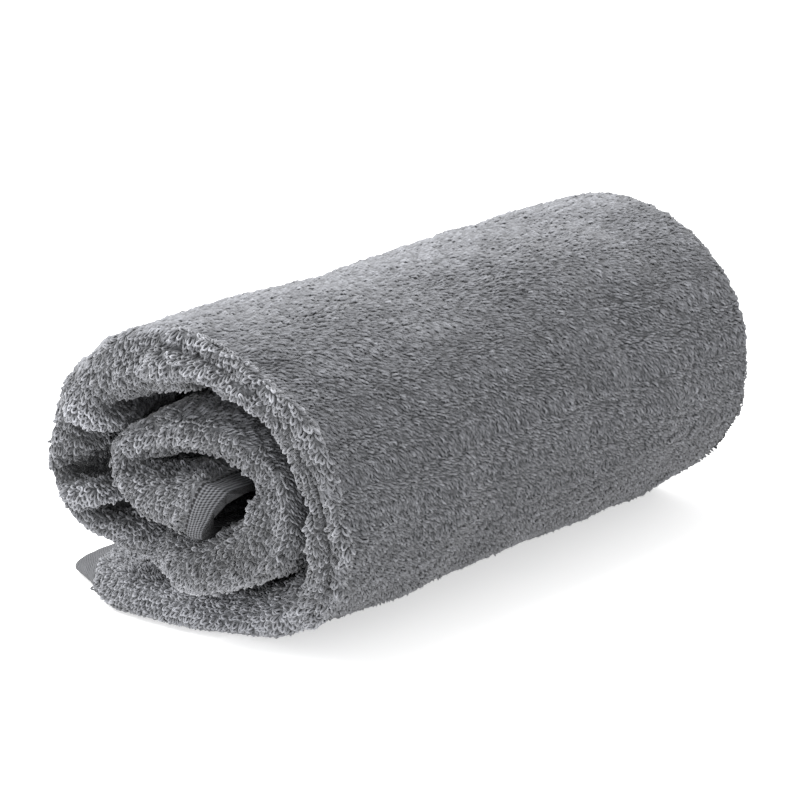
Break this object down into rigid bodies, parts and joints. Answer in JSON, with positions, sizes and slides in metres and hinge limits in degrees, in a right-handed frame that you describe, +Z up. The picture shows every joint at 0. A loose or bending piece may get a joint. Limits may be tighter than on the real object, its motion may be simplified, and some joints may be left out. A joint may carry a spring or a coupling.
{
  "type": "rolled bath towel",
  "caption": "Grey terry towel folded lengthwise and rolled, lying on its side, with its loose end flat on the surface and an inner hem showing in the core.",
  "frame": {"origin": "middle of the roll's footprint box, on the surface it lies on", "axes": "+X along the roll, from the folded near end to the open far end; +Y towards the loose outer end on the surface; +Z up"},
  "size_m": [0.2636, 0.1552, 0.1196],
  "materials": {
    "terry": "looped cotton pile, with flat woven hems at both ends of the strip"
  },
  "bodies": {
    "root": {"towel": "terry"}
  },
  "joints": []
}
